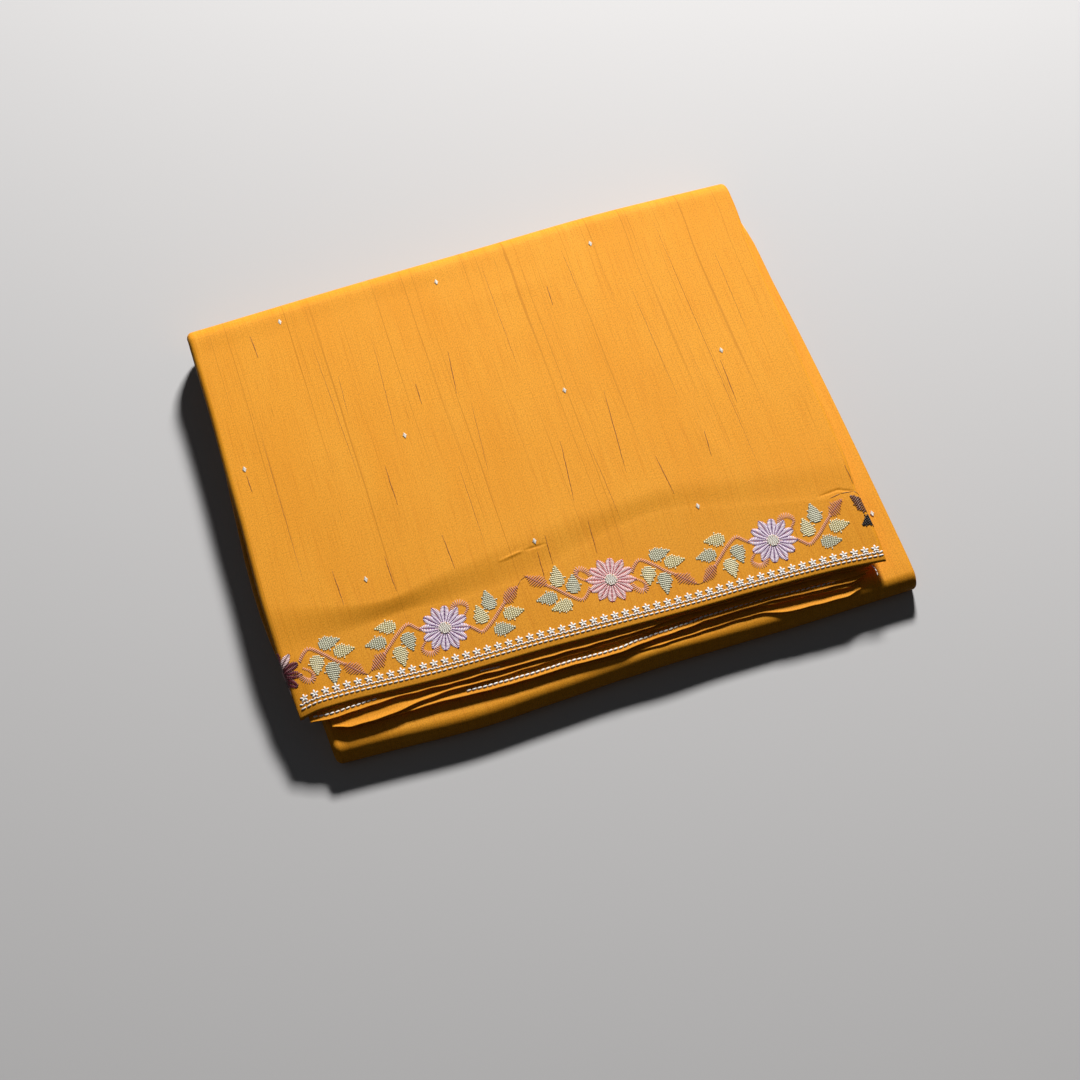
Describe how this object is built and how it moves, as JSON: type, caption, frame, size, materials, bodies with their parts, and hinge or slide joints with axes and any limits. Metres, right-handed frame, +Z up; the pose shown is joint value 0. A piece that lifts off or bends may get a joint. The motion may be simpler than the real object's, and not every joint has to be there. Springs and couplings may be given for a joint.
{
  "type": "folded saree",
  "caption": "Plain silk saree with an embroidered flower border, folded into a flat rectangular bundle that lies on a surface, border edge to the front.",
  "frame": {"origin": "centre of the bundle's footprint, on the surface that it lies on", "axes": "+X along the length of the cloth, towards the end with the thinner folds; +Y away from the loose embroidered edge, towards the full-height back fold; +Z up"},
  "size_m": [0.4042, 0.338, 0.034],
  "materials": {
    "outer_silk": "slubbed raw silk with a soft sheen, mustard yellow",
    "edge_silk": "slubbed raw silk, mustard yellow, hemmed edge",
    "inner_silk": "slubbed raw silk, layered and pressed together"
  },
  "bodies": {
    "root": {"top_panel": "outer_silk", "under_panel": "outer_silk", "front_fold": "outer_silk", "second_edge": "edge_silk", "third_edge": "edge_silk", "fourth_edge": "edge_silk", "fifth_edge": "edge_silk", "sixth_edge": "edge_silk", "hidden_layers": "inner_silk"}
  },
  "joints": []
}
